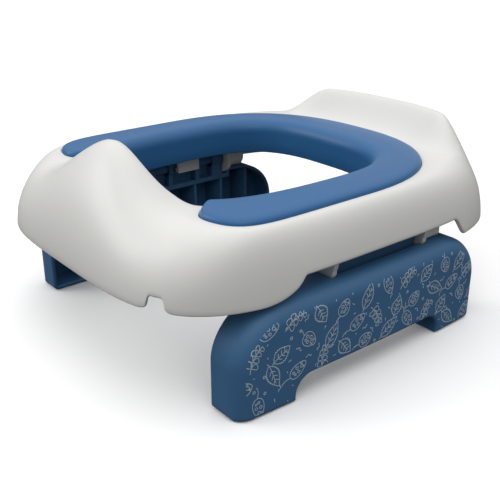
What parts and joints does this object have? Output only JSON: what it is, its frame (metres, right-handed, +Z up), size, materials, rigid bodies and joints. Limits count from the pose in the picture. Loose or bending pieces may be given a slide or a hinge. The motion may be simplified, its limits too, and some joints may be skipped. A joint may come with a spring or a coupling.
{
  "type": "potty training chair",
  "caption": "Folding travel potty chair: a white moulded seat with a splash guard, rear lip and soft blue pad, on two hinged blue legs that fold in under it.",
  "frame": {"origin": "centre of the bounding box's bottom face, on the floor in the mirror plane, with the legs down", "axes": "+Y from the front splash guard to the rear lip, +Z up, +X towards the right leg"},
  "size_m": [0.278, 0.325, 0.151],
  "materials": {
    "seat_plastic": "satin moulded polypropylene, warm white",
    "soft_pad": "soft matte thermoplastic elastomer, blue",
    "leg_plastic": "satin moulded polypropylene, blue, with a fine grain",
    "steel": "zinc-plated steel",
    "foot_rubber": "matte dark rubber"
  },
  "bodies": {
    "seat": {"seat_shell": "seat_plastic", "seat_pad": "soft_pad", "right_front_bracket": "seat_plastic", "right_rear_bracket": "seat_plastic", "left_front_bracket": "seat_plastic", "left_rear_bracket": "seat_plastic", "bracket_screws": "steel", "right_front_pin": "steel", "right_rear_pin": "steel", "left_front_pin": "steel", "left_rear_pin": "steel", "right_lock_housing": "seat_plastic", "left_lock_housing": "seat_plastic", "housing_screws": "steel", "right_lock_spring": "steel", "left_lock_spring": "steel"},
    "right_leg": {"right_leg": "leg_plastic", "right_front_foot": "foot_rubber", "right_rear_foot": "foot_rubber"},
    "right_lock_tab": {"right_lock_tab": "seat_plastic"},
    "left_leg": {"left_leg": "leg_plastic", "left_front_foot": "foot_rubber", "left_rear_foot": "foot_rubber"},
    "left_lock_tab": {"left_lock_tab": "seat_plastic"}
  },
  "joints": [
    {"name": "right_leg_fold", "type": "hinge", "parent": "seat", "child": "right_leg", "pos_m": [0.114, 0.01175, 0.082], "axis": [0, 1, 0], "range_deg": [0, 90]},
    {"name": "left_leg_fold", "type": "hinge", "parent": "seat", "child": "left_leg", "pos_m": [-0.114, 0.01175, 0.082], "axis": [0, -1, 0], "range_deg": [0, 90]},
    {"name": "right_lock_slide", "type": "slide", "parent": "seat", "child": "right_lock_tab", "axis": [1, 0, 0], "range_m": [0, 0.0024], "stiffness_N_per_m": 250, "springref_m": 0.004},
    {"name": "left_lock_slide", "type": "slide", "parent": "seat", "child": "left_lock_tab", "axis": [-1, 0, 0], "range_m": [0, 0.0024], "stiffness_N_per_m": 250, "springref_m": 0.004}
  ]
}
